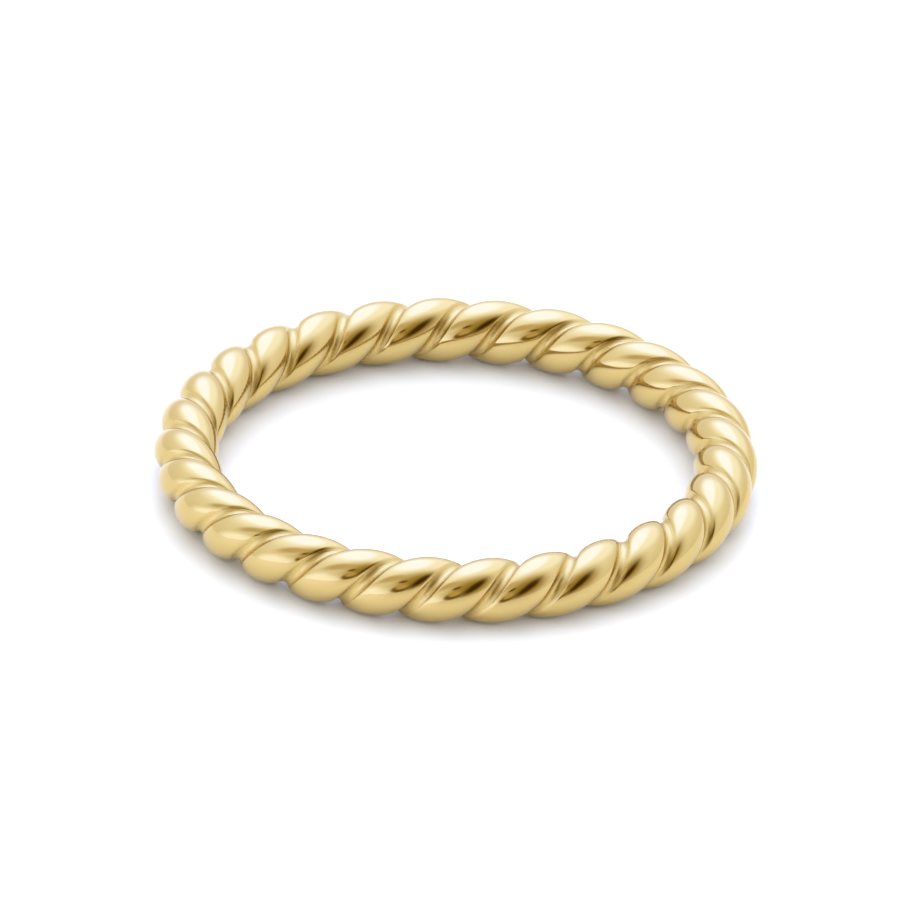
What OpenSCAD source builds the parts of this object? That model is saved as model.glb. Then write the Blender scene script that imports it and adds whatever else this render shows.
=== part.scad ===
// Rope twist ring: two round-topped gold wires twisted into a rope and closed into a finger ring.
// The wires and the metal that joins them in their grooves are one solid, as on the real ring.
// All sizes are in millimetres. The ring lies on its side: its axis is Z and it rests on Z = 0.

/* [Finger hole] */
// Diameter of the finger hole, measured across the crests of the twist
inner_d = 16.5; // [13:0.1:22]

/* [Wires] */
// Thickness of one wire, measured outwards from the middle of the rope
wire_t = 1.15; // [1:0.05:1.4]
// Width of one wire, measured square to its own slanting line
wire_w = 1.46; // [1.3:0.02:1.7]
// Depth by which the two wires are pressed into each other in the middle of the rope
wire_press = 0.05; // [0.02:0.01:0.2]

/* [Twist] */
// Full turns that the pair of wires makes on its way round the ring
turns = 14; // [10:1:18]
// Hand of the twist
lay_hand = 1; // [1:Left hand, -1:Right hand]

/* [Grooves] */
// Radius to which the bottom of each groove is filled
groove_r = 0.25; // [0.05:0.01:0.4]

/* [Hidden] */

// Thickness of the rope from crest to crest, and so the height of the ring as it lies
rope_t = 2 * wire_t - wire_press;
// Radius of the rope's middle line round the ring
ring_r = (inner_d + rope_t) / 2;
// Radius at which the middle of each wire winds round the middle of the rope
wind_r = (rope_t - wire_t) / 2;
// Way along the rope for one radian of twist, and way along a wire for the same radian
lead = ring_r / turns;
wire_lead = norm([wind_r, lead]);

// Cuts round the ring, steps round the crest of one wire, and steps across one groove
ring_cuts = 224;
crest_steps = 10;
groove_steps = 2;
// Halvings that find where the groove's fill touches a wire, and the small angle for its slope
halvings = 30;
slope_step = 0.01;
yellow_gold = [0.84, 0.74, 0.49];

// Point of a wire's surface in the flat cut square to the rope, with the wire's middle on X.
// a goes round the wire's own oval: 0 faces the rope's middle and 180 is the crest. The oval
// stands square to the slanting wire, so each of its points is wound back into the flat cut.
function wire_point(a) =
    let (
        out = wind_r - wire_t / 2 * cos(a),
        side = wire_w / 2 * sin(a),
        back = -side * wind_r / wire_lead / lead * 180 / PI,
        across = side * lead / wire_lead
    )
    [out * cos(back) + across * sin(back), out * sin(back) - across * cos(back)];

// Direction square to the wire's surface at that point, pointing out of the metal
function wire_normal(a) =
    let (run = wire_point(a + slope_step) - wire_point(a - slope_step))
    [run.y, -run.x] / norm(run);

// Middle of a ball of the groove's radius that touches the wire at a
function ball_middle(a) = wire_point(a) + groove_r * wire_normal(a);

// Angle at which that ball touches both wires at once, because its middle lies between them
function touch_angle(low, high, n) =
    let (mid = (low + high) / 2)
    n == 0 ? mid
        : ball_middle(mid).x < 0 ? touch_angle(mid, high, n - 1)
        : touch_angle(low, mid, n - 1);

touch_a = touch_angle(0, 180, halvings);
ball_y = -ball_middle(touch_a).y;
groove_a = asin(wire_point(touch_a).x / groove_r);

// Crest of one wire, from the groove below it to the groove above it
function crest_points() =
    [for (k = [0:crest_steps]) wire_point(touch_a + (360 - 2 * touch_a) * k / crest_steps)];

// Round bottom of the groove above that crest, without its two ends
function groove_points() =
    [for (k = [1:groove_steps - 1])
        let (a = groove_a * (1 - 2 * k / groove_steps))
        [groove_r * sin(a), ball_y - groove_r * cos(a)]];

// The rope's whole cut: one crest and groove, and the same again turned half round
function rope_section() =
    let (half_cut = concat(crest_points(), groove_points()))
    concat(half_cut, [for (p = half_cut) -p]);

// Place of one point of the cut at angle u round the ring, where the rope has twisted by then
function placed(p, u) =
    let (
        a = lay_hand * turns * u,
        x = p.x * cos(a) - p.y * sin(a),
        z = p.x * sin(a) + p.y * cos(a)
    )
    [(ring_r + x) * cos(u), (ring_r + x) * sin(u), rope_t / 2 + z];

// Two triangles between cuts i and i + 1, along the strip from point j to the next one. They
// meet on the diagonal that runs across the twist, so the facets bulge as the wires do.
function strip_faces(i, j, n) =
    let (
        here = i * n,
        next = (i + 1) % ring_cuts * n,
        k = (j + 1) % n
    )
    lay_hand > 0
        ? [[here + j, here + k, next + j], [here + k, next + k, next + j]]
        : [[here + j, here + k, next + k], [here + j, next + k, next + j]];

// The whole rope as one closed solid: its cut swept once round the ring while it twists
module twisted_rope() {
    section = rope_section();
    n = len(section);
    polyhedron(
        points = [for (i = [0:ring_cuts - 1]) for (p = section) placed(p, 360 * i / ring_cuts)],
        faces = [for (i = [0:ring_cuts - 1]) for (j = [0:n - 1]) each strip_faces(i, j, n)],
        convexity = 10
    );
}

module rope_band() {
    color(yellow_gold) twisted_rope();
}

rope_band();
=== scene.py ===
# %% [markdown]
# # A rope twist ring in polished yellow gold
#
# This file is a lesson in cells. It dresses one finger ring, a pair of round-topped gold wires
# twisted into a rope and closed into a circle, and photographs it on a white table. Read it from
# top to bottom: every cell first says what the real thing is, then how it could be made in
# Blender, and why it is made this way.

# %% [markdown]
# ## The ring's own frame
#
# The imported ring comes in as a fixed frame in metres. Its plain solid gives the sizes that the
# dressed ring shares with it: the height is the thickness of the rope, and the width less that
# thickness is the diameter of the rope's middle line. Reading them off the frame is better than
# typing them again, because the two models then can't drift apart.

# %% Load the frame and read its sizes
import math

import bmesh
import bpy
from mathutils import Matrix, Vector


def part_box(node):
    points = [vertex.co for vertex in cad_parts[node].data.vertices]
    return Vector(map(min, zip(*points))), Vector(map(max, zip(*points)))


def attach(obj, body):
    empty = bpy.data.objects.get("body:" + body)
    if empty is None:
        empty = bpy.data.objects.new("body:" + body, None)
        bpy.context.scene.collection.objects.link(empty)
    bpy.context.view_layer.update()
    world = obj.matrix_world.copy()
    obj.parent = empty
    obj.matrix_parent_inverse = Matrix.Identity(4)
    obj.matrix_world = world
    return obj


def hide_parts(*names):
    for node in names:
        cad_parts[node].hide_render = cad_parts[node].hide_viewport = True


MM = 0.001

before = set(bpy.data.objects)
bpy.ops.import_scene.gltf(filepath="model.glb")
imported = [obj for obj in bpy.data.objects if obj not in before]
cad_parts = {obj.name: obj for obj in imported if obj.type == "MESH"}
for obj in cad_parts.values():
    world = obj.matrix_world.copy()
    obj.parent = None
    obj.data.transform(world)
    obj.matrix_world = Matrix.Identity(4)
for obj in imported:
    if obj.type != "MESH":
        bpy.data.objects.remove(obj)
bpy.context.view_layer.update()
band_low, band_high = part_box("rope_band")
rope_t = band_high.z - band_low.z
ring_r = (band_high.x - band_low.x - rope_t) / 2
print(f"rope {rope_t / MM:.2f} mm thick on a middle line of {ring_r / MM:.3f} mm radius")

# %% [markdown]
# ## The camera
#
# The photograph looks at the ring at 29 degrees to its plane through a long lens, and the ring
# hangs down a little to the right in the picture. A camera could be pushed about by hand until it
# looks right, but three measured things place it exactly: where the ring's centre sits in the
# picture, how many pixels its radius takes, and how far the picture leans. The photograph's ring
# is propped up with its far side low. Here it lies flat, as it would by itself, so the camera
# takes the same angle from above the table. Each end of the ring then shows its other side, and a
# bump can sit up to a fifth of a bump away from its place in the photograph.

# %% Make the camera
IMAGE_PX = 900
CENTRE_PX = Vector((455.8, 458.6))
RADIUS_PX = 269.75
ELEVATION = math.radians(28.9)
ROLL = math.radians(1.8)
SENSOR = 36.0
CAMERA_AWAY = 80 * ring_r
NEAR_LIMIT = 0.05
FAR_LIMIT = 5.0

ring_centre = Vector((0, 0, band_low.z + rope_t / 2))
back = Vector((0, -math.cos(ELEVATION), math.sin(ELEVATION)))
turned = back.to_track_quat("Z", "Y").to_matrix() @ Matrix.Rotation(ROLL, 3, "Z")
off_axis = (CENTRE_PX - Vector((IMAGE_PX, IMAGE_PX)) / 2) * ring_r / RADIUS_PX
aim = ring_centre - turned.col[0] * off_axis.x + turned.col[1] * off_axis.y

camera_data = bpy.data.cameras.new("Camera")
camera_data.sensor_width = SENSOR
camera_data.lens = SENSOR * RADIUS_PX / IMAGE_PX * CAMERA_AWAY / ring_r
camera_data.clip_start = NEAR_LIMIT
camera_data.clip_end = FAR_LIMIT
camera = bpy.data.objects.new("Camera", camera_data)
camera.matrix_world = Matrix.Translation(aim + back * CAMERA_AWAY) @ turned.to_4x4()
bpy.context.scene.collection.objects.link(camera)
bpy.context.scene.camera = camera
print(f"lens of {camera_data.lens:.0f} mm, {CAMERA_AWAY:.2f} m away")

# %% [markdown]
# ## The cut through one wire
#
# Cut straight across, the real rope shows two lobes, one for each wire. A wire is a rounded oval,
# wider along its own surface than it is thick, and it stands square to its own slanting line. The
# straight cut meets it at a slant, so the lobe bends like a bean. The outline could be drawn
# point by point, but it is truer to do what the metal does: a circle is squashed to the oval,
# leaned with the wire, and each of its points is wound back along the twist until it lies in the
# cut. A bisect then takes away what would be inside the other wire.

# %% Shape one lobe of the cut
WIRE_T = 1.15 * MM
WIRE_W = 1.46 * MM
TURNS = 14
OVAL_POINTS = 64
RIGHT_ANGLE = math.pi / 2

wind_r = (rope_t - WIRE_T) / 2
lead = ring_r / TURNS
lean = math.atan2(wind_r, lead)


def twist(angle, along):
    """The turn that a left-hand rope makes as it runs along the given direction."""
    return Matrix.Rotation(-angle, 3, along)


cut = bmesh.new()
bmesh.ops.create_circle(cut, segments=OVAL_POINTS, radius=0.5)
bmesh.ops.scale(cut, vec=(WIRE_T, WIRE_W, 1), verts=cut.verts)
bmesh.ops.rotate(cut, matrix=Matrix.Rotation(RIGHT_ANGLE + lean, 3, "X"), verts=cut.verts)
bmesh.ops.translate(cut, vec=(wind_r, 0, 0), verts=cut.verts)
for point in cut.verts:
    bmesh.ops.rotate(cut, matrix=twist(-point.co.y / lead, Vector((0, 1, 0))), verts=[point])
    point.co.y = 0
everything = cut.verts[:] + cut.edges[:]
bmesh.ops.bisect_plane(cut, geom=everything, plane_no=(1, 0, 0), clear_inner=True)
print(f"a lobe of {len(cut.verts)} points, its wire leaning {math.degrees(lean):.1f} degrees")

# %% [markdown]
# ## The groove between the wires
#
# On the real ring the two wires are joined along their grooves, and solder or casting leaves a
# small round fillet there. It is what draws the pale band that runs down every groove in the
# photograph. The lobe is spun half a turn to give the second wire. Where the two meet is one
# sharp corner at each side, and a bevel rounds it. A bevel with a profile of 0.5 is an arc that
# leaves both sides smoothly, as a fillet does. It needs straight runs as long as the arc's reach,
# so the points closer than that are dissolved first. That flattens the wires there by less than
# a twentieth of a millimetre. Each point also keeps how deep in the groove it lies, from 0 on a
# crest to 1 at the bottom, for the finish to read later.

# %% Join two lobes and round the grooves
GROOVE_R = 0.25 * MM
GROOVE_STEPS = 6
WELD = 0.0005 * MM
CLEARANCE = 1.1

everything = cut.verts[:] + cut.edges[:]
bmesh.ops.spin(
    cut, geom=everything, axis=(0, 1, 0), angle=math.pi, steps=1, use_duplicate=True
)
bmesh.ops.remove_doubles(cut, verts=cut.verts, dist=WELD)
corners = [point for point in cut.verts if abs(point.co.x) < WELD]
valley = corners[0]
arms = [edge.other_vert(valley).co - valley.co for edge in valley.link_edges]
opening = arms[0].angle(arms[1])
reach = GROOVE_R / math.tan(opening / 2)
crowded = [
    point
    for point in cut.verts
    if 0 < min((point.co - corner.co).length for corner in corners) < reach * CLEARANCE
]
bmesh.ops.dissolve_verts(cut, verts=crowded)
bmesh.ops.bevel(
    cut,
    geom=corners,
    offset=reach,
    offset_type="OFFSET",
    segments=GROOVE_STEPS,
    profile=0.5,
    affect="VERTICES",
    material=-1,
)
groove_depth = cut.verts.layers.float.new("groove")
valley_r = min(point.co.length for point in cut.verts)
for point in cut.verts:
    point[groove_depth] = (rope_t / 2 - point.co.length) / (rope_t / 2 - valley_r)
print(f"grooves open {math.degrees(opening):.0f} degrees and reach in to {valley_r / MM:.3f} mm")

# %% [markdown]
# ## One crest of the rope, twisted
#
# The jeweller twists two straight wires, bends the rope round a mandrel and solders its ends. A
# model could do the same with two modifiers, but the joint would then have to be closed by hand.
# Here the cut is spun along the ring for one crest only, which is half a turn of the twist, and
# then each slice is turned in its own plane by its share of that half turn. Both ends look alike,
# because half a turn only swaps the two wires.

# %% Spin the cut along one crest and twist it
CUTS_PER_CREST = 30

crests = 2 * TURNS
crest_angle = 2 * math.pi / crests
step = crest_angle / CUTS_PER_CREST
rope_middle = Vector((ring_r, 0, ring_centre.z))
bmesh.ops.translate(cut, vec=rope_middle, verts=cut.verts)
everything = cut.verts[:] + cut.edges[:]
bmesh.ops.spin(cut, geom=everything, axis=(0, 0, 1), angle=crest_angle, steps=CUTS_PER_CREST)

slices = [[] for _ in range(CUTS_PER_CREST + 1)]
for point in cut.verts:
    slices[round(math.atan2(point.co.y, point.co.x) / step)].append(point)
for number, points in enumerate(slices):
    along = Matrix.Rotation(number * step, 3, "Z")
    turn = twist(TURNS * number * step, along @ Vector((0, 1, 0)))
    bmesh.ops.rotate(cut, cent=along @ rope_middle, matrix=turn, verts=points)
print(f"{len(slices)} slices of {len(slices[0])} points make one crest")

# %% [markdown]
# ## The whole ring
#
# Twenty-eight crests close the ring. An array on an empty would do it, but a spin that duplicates
# is one line and leaves a plain mesh. The ends of neighbouring crests lie exactly on each other,
# so merging doubles welds the ring into one closed skin, and only then are the normals turned
# outwards. Every face is smooth, because polished wire has no facets.

# %% Repeat the crest round the ring
everything = cut.verts[:] + cut.edges[:] + cut.faces[:]
bmesh.ops.spin(
    cut,
    geom=everything,
    axis=(0, 0, 1),
    angle=2 * math.pi - crest_angle,
    steps=crests - 1,
    use_duplicate=True,
)
bmesh.ops.remove_doubles(cut, verts=cut.verts, dist=WELD)
bmesh.ops.recalc_face_normals(cut, faces=cut.faces)
for face in cut.faces:
    face.smooth = True
print(f"{crests} crests, {len(cut.faces)} faces, {cut.calc_volume() / MM**3:.1f} cubic mm")

# %% [markdown]
# ## From mesh to ring
#
# The finished skin becomes an object at the origin, unturned and unscaled, so that it lies where
# the frame's solid lies. It stands for that solid and rides with it. Its polished yellow gold is
# made below.

# %% Make the ring's object
mesh = bpy.data.meshes.new("rope_band_gold")
cut.to_mesh(mesh)
cut.free()
band = bpy.data.objects.new("rope_band_gold", mesh)
bpy.context.scene.collection.objects.link(band)
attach(band, "root")
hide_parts("rope_band")
print(f"{band.name} stands for the packed solid")

# %% [markdown]
# ## Colours and nodes
#
# Materials are drawn as small trees of nodes. Adding each node, setting it and wiring it by hand
# takes several lines, so one helper does all three: it sets the node's own properties first and
# then each input, either with a value or with a wire from another node. Colours are chosen as
# sRGB hex values, as a painter would pick them, while the renderer works in linear light, so one
# function turns the first into the second.

# %% A colour and a node
SRGB_TOE = 0.04045
SRGB_SLOPE = 12.92
SRGB_OFFSET = 0.055
SRGB_POWER = 2.4


def linear(hex_colour):
    """The linear red, green, blue and alpha of an sRGB colour such as D1B777."""
    colour = []
    for start in (0, 2, 4):
        part = int(hex_colour[start : start + 2], 16) / 255
        if part <= SRGB_TOE:
            colour.append(part / SRGB_SLOPE)
        else:
            colour.append(((part + SRGB_OFFSET) / (1 + SRGB_OFFSET)) ** SRGB_POWER)
    return colour + [1]


def add_node(tree, kind, settings=(), **inputs):
    """Adds a node. Settings are its own properties, and an input is a value or a socket."""
    node = tree.nodes.new(kind)
    for name, value in dict(settings).items():
        setattr(node, name, value)
    for name, value in inputs.items():
        socket = node.inputs[name.replace("_", " ")]
        if isinstance(value, bpy.types.NodeSocket):
            tree.links.new(value, socket)
        else:
            socket.default_value = value
    return node


print("middle grey is", [round(part, 3) for part in linear("777777")])

# %% [markdown]
# ## Polished yellow gold
#
# The real ring is 14 karat yellow gold, cast or drawn, then polished on a soft wheel. Gold is a
# metal, so nearly all that the eye sees is the studio, tinted. The colour is the paler yellow of
# the 14 karat alloy. A wheel leaves broad, shallow waves that bend the edge of a reflection, and
# they keep the ring from looking like a computer's. They could be modelled, but they are only two
# thousandths of a millimetre high, so a noise in a bump draws them.

# %% Polish the crests
GOLD = "D1B777"
POLISH = 0.1
WAVE = 0.5 * MM
WAVE_DEPTH = 0.002 * MM

gold = bpy.data.materials.new("polished_yellow_gold")
gold.use_nodes = True
tree = gold.node_tree
place = add_node(tree, "ShaderNodeTexCoord").outputs["Object"]
waves = add_node(tree, "ShaderNodeTexNoise", Vector=place, Scale=1 / WAVE, Detail=1.0)
wavy = add_node(
    tree, "ShaderNodeBump", Height=waves.outputs["Fac"], Distance=WAVE_DEPTH, Strength=1.0
)
surface = tree.nodes["Principled BSDF"]
surface.inputs["Metallic"].default_value = 1.0
mesh.materials.append(gold)
print(f"waves {WAVE / MM:.1f} mm long and {WAVE_DEPTH / MM:.3f} mm high")

# %% [markdown]
# ## The grooves' finish
#
# A polishing wheel can't reach the bottom of the grooves. The metal there stays duller, and it
# keeps the fine uneven lines that drawing and soldering left along it. They show in the
# photograph as thin light and dark threads. The groove colour is painted a touch lighter and
# warmer, a painted light that offsets the orange shade the gold bounces into its own grooves. All
# three follow the depth that each point kept. For the lines, a noise in four dimensions is read
# with the place on the ring as its first three and that depth, stretched, as its fourth. It
# changes fast from one side of the groove to the other and slowly along it, which no pattern in
# three straight axes would do on a twist. The real lines are finer than a pixel, so these are
# drawn as coarse as they need to be to show.

# %% Leave the grooves dull and lined
# The groove colour is a touch lighter and warmer than the gold: painted light against the
# grooves' shade.
GROOVE_GOLD_PAINTED_LIGHTER = "D4B975"
GROOVE_DULLNESS = 0.32
DULL_FROM = 0.4
DULL_TO = 0.8
LINED_FROM = 0.5
LINE_LENGTH = 0.6 * MM
LINES = 12
LINE_DEPTH = 0.026 * MM
LINE_DETAIL = 4.0

groove = add_node(tree, "ShaderNodeAttribute", {"attribute_name": "groove"}).outputs["Fac"]
deep = add_node(tree, "ShaderNodeMapRange", Value=groove, From_Min=LINED_FROM).outputs["Result"]
# Blends to the lighter groove colour with depth, a painted light in the grooves.
groove_painted_light = add_node(
    tree,
    "ShaderNodeMix",
    {"data_type": "RGBA"},
    Factor=deep,
    A=linear(GOLD),
    B=linear(GROOVE_GOLD_PAINTED_LIGHTER),
)
dull = add_node(
    tree,
    "ShaderNodeMapRange",
    Value=groove,
    From_Min=DULL_FROM,
    From_Max=DULL_TO,
    To_Min=POLISH,
    To_Max=GROOVE_DULLNESS,
)
across = add_node(tree, "ShaderNodeMapRange", Value=groove, To_Max=LINES * LINE_LENGTH)
lines = add_node(
    tree,
    "ShaderNodeTexNoise",
    {"noise_dimensions": "4D"},
    Vector=place,
    W=across.outputs["Result"],
    Scale=1 / LINE_LENGTH,
    Detail=LINE_DETAIL,
)
lined = add_node(
    tree,
    "ShaderNodeBump",
    Height=lines.outputs["Fac"],
    Distance=LINE_DEPTH,
    Strength=deep,
    Normal=wavy.outputs["Normal"],
)
tree.links.new(groove_painted_light.outputs["Result"], surface.inputs["Base Color"])
tree.links.new(dull.outputs["Result"], surface.inputs["Roughness"])
tree.links.new(lined.outputs["Normal"], surface.inputs["Normal"])
print(f"{LINES} lines from crest to groove, each about {LINE_LENGTH / MM:.1f} mm long")

# %% [markdown]
# ## The table
#
# The photograph has nothing but white under the ring, with one soft grey shadow. A real studio
# uses a pale board and lights it until it is white in the picture. The board is a touch blue,
# because the gold throws warm light into its own shadow, and the two together come out grey. Its
# slight gloss mirrors the tent at a low angle, which softens the horizon that shows in the metal.

# %% Lay the table
TABLE_R = 0.5
TABLE_SIDES = 96
BOARD = "EBEEF4"
BOARD_DULLNESS = 0.35

board = bpy.data.materials.new("smooth_white_board")
board.use_nodes = True
paper = board.node_tree.nodes["Principled BSDF"]
paper.inputs["Base Color"].default_value = linear(BOARD)
paper.inputs["Roughness"].default_value = BOARD_DULLNESS

disc = bmesh.new()
bmesh.ops.create_circle(disc, segments=TABLE_SIDES, radius=TABLE_R, cap_ends=True)
table_mesh = bpy.data.meshes.new("table")
disc.to_mesh(table_mesh)
disc.free()
table_mesh.materials.append(board)
table = bpy.data.objects.new("table", table_mesh)
bpy.context.scene.collection.objects.link(table)
print(f"a round table of {TABLE_R} m radius")

# %% [markdown]
# ## Where things stand in the studio
#
# Polished metal shows its studio, so the studio is built from what the ring's own reflections
# say. Such rings are photographed in a tent of white cloth. A lamp behind the cloth makes a soft
# bright patch on it, and the room shows dark through the slit that the camera looks in by. Each
# of these lies in some direction from the ring. Two angles give a direction in words that a
# photographer would use, and a turn faces something along it.

# %% Directions from the ring
CAMERA_AT = (0, math.degrees(ELEVATION))


def from_ring(azimuth, elevation):
    """A direction from the ring. Azimuth 0 is the camera's side, and 90 is on its right."""
    a = math.radians(azimuth)
    e = math.radians(elevation)
    return Vector((math.sin(a) * math.cos(e), -math.cos(a) * math.cos(e), math.sin(e)))


def facing(direction, lean=0):
    """The turn whose Z points along the direction, with Y up, leaned about it by some degrees."""
    upright = direction.to_track_quat("Z", "Y").to_matrix()
    return upright @ Matrix.Rotation(math.radians(lean), 3, "Z")


print("the camera looks in from", [round(part, 2) for part in from_ring(*CAMERA_AT)])

# %% [markdown]
# ## The tent's cloth
#
# Real lamps and cards could be set up, but each would need its own object and would light the
# table too. Here the tent is a sphere that glows, and its cloth is painted with soft ovals, each
# over the ones before. A mapping puts an oval's own axes at its middle, a spherical gradient runs
# from 1 there to 0 at its rim, and a smooth step sets how much of it is rim. The cloth's own glow
# is a little over the white of paper.

# %% A way to paint light on the cloth
TENT_R = 1.0
PATCH_DEPTH = 1.2

cloth = bpy.data.materials.new("glowing_tent_cloth")
cloth.use_nodes = True
tent_tree = cloth.node_tree
tent_tree.nodes.clear()
on_tent = add_node(tent_tree, "ShaderNodeTexCoord").outputs["Object"]


def glow(hex_colour, strength):
    """Light of a colour, so many times as bright as white paper."""
    return [part * strength for part in linear(hex_colour)]


def paint(under, where, half_size, rim, light, lean=0):
    """Paints one soft oval of light over what the tent shows already."""
    middle = from_ring(*where)
    own = add_node(
        tent_tree,
        "ShaderNodeMapping",
        {"vector_type": "TEXTURE"},
        Vector=on_tent,
        Location=middle * TENT_R,
        Rotation=facing(middle, lean).to_euler(),
        Scale=(*half_size, PATCH_DEPTH),
    ).outputs["Vector"]
    fading = add_node(
        tent_tree, "ShaderNodeTexGradient", {"gradient_type": "SPHERICAL"}, Vector=own
    ).outputs["Fac"]
    soft = add_node(
        tent_tree,
        "ShaderNodeMapRange",
        {"interpolation_type": "SMOOTHSTEP"},
        Value=fading,
        From_Max=rim,
    ).outputs["Result"]
    mix = add_node(
        tent_tree, "ShaderNodeMix", {"data_type": "RGBA"}, Factor=soft, A=under, B=light
    )
    return mix.outputs["Result"]


shown = glow("F7F9FF", 1.17)
print("plain cloth glows", [round(part, 2) for part in shown[:3]])

# %% [markdown]
# ## The bright parts of the tent
#
# In the photograph the upper part of every strand carries a white gleam, and the lower left a
# pale yellow one. The first is a wide lamp above and behind the ring, with a soft surround and a
# brighter middle, the second a lower lamp on the left. The rest of the strand shows plain cloth,
# a little brighter overhead. The lamps are bluer than the cloth, because light that is to leave
# yellow metal as white has to arrive blue. Each patch is named here, with the azimuth and
# elevation of its middle, half its width and height, how much of it is rim, and its light.

# %% Light the cloth
BRIGHT_PATCHES = {
    "roof": ((0, 90), (1.70, 1.70), 0.6, glow("E3EAFF", 1.64)),
    "lamp behind": ((174, 60), (0.80, 0.86), 0.4, glow("CAD7FF", 2.50)),
    "its middle": ((188, 57), (0.43, 0.68), 0.45, glow("A6B9FF", 4.15)),
    "lamp at the left": ((-60, 2), (0.80, 0.52), 0.5, glow("CAD6FF", 2.60)),
}

for patch in BRIGHT_PATCHES.values():
    shown = paint(shown, *patch)
print("painted", ", ".join(BRIGHT_PATCHES))

# %% [markdown]
# ## The dark parts of the tent
#
# Through the slit in front the metal sees the unlit, brown room. In every strand of the
# photograph that is a brown patch under the white gleam. It fades out to the upper left, and it
# holds a near-black bar along its lower right and a small hook at the left end of the bar. The
# hook is a dark round shape with a lighter one in its middle, and one more small spot above it.
# Where a patch leans, the lean in degrees comes last.

# %% Open the dark slit
DARK_PATCHES = {
    "arm at the upper left": ((-55, 55), (0.66, 0.32), 0.7, glow("E2D7C2", 1), 30),
    "edge of the slit": ((8, 42), (1.10, 1.00), 0.9, glow("EFE5C5", 1)),
    "brown room": ((24, 32), (0.86, 0.80), 0.7, glow("B5A059", 1)),
    "bar": ((27, 30), (0.70, 0.30), 0.7, glow("503810", 1), 48),
    "hook": ((-9, 15), (0.31, 0.31), 0.4, glow("866C30", 1)),
    "light in the hook": ((-8, 22), (0.23, 0.21), 0.5, glow("DDCA95", 1)),
    "small spot": ((-13, 43), (0.17, 0.12), 0.6, glow("765927", 1), 20),
}

for patch in DARK_PATCHES.values():
    shown = paint(shown, *patch)
print("painted", ", ".join(DARK_PATCHES))

# %% [markdown]
# ## The tent itself
#
# The sphere glows with what has been painted. It has to show in the metal and nowhere else: the
# camera looks straight through it, and it neither lights the table nor throws a shadow there.

# %% Put up the tent
TENT_FINENESS = 4

light = add_node(tent_tree, "ShaderNodeEmission", Color=shown, Strength=1.0)
add_node(tent_tree, "ShaderNodeOutputMaterial", Surface=light.outputs["Emission"])

ball = bmesh.new()
bmesh.ops.create_icosphere(ball, subdivisions=TENT_FINENESS, radius=TENT_R)
tent_mesh = bpy.data.meshes.new("tent")
ball.to_mesh(tent_mesh)
ball.free()
tent_mesh.materials.append(cloth)
tent = bpy.data.objects.new("tent", tent_mesh)
tent.visible_camera = False
tent.visible_diffuse = False
tent.visible_shadow = False
bpy.context.scene.collection.objects.link(tent)
print(f"a tent of {TENT_R} m radius round the ring")

# %% [markdown]
# ## The light on the table
#
# What lights the table is an even sky, for the cloth's own glow, and one wide lamp above and
# behind the ring, where the brightest patch is. The sky alone would leave the ring floating, and
# the lamp alone would throw a hard shadow, so both are used, and the sky is much the stronger.
# The lamp is hidden from reflections, because the tent shows it already. The plain Standard view
# keeps white as white.

# %% Hang the lamp and light the sky
LAMP_AWAY = 0.6
LAMP_SIZE = 0.7
LAMP_WATTS = 1.0
LAMP_AT = (180, 72)
SKY = 1.4

lamp_data = bpy.data.lights.new("top_lamp", "AREA")
lamp_data.shape = "DISK"
lamp_data.size = LAMP_SIZE
lamp_data.energy = LAMP_WATTS
lamp = bpy.data.objects.new("top_lamp", lamp_data)
above = from_ring(*LAMP_AT)
lamp.matrix_world = Matrix.Translation(above * LAMP_AWAY) @ facing(above).to_4x4()
lamp.visible_glossy = False
bpy.context.scene.collection.objects.link(lamp)

sky = bpy.data.worlds.new("studio_sky")
sky.use_nodes = True
sky.node_tree.nodes["Background"].inputs["Color"].default_value = linear("FFFFFF")
sky.node_tree.nodes["Background"].inputs["Strength"].default_value = SKY
bpy.context.scene.world = sky
bpy.context.scene.view_settings.view_transform = "Standard"
print(f"a lamp {LAMP_SIZE} m across, {LAMP_AWAY} m away, under a sky of {SKY}")
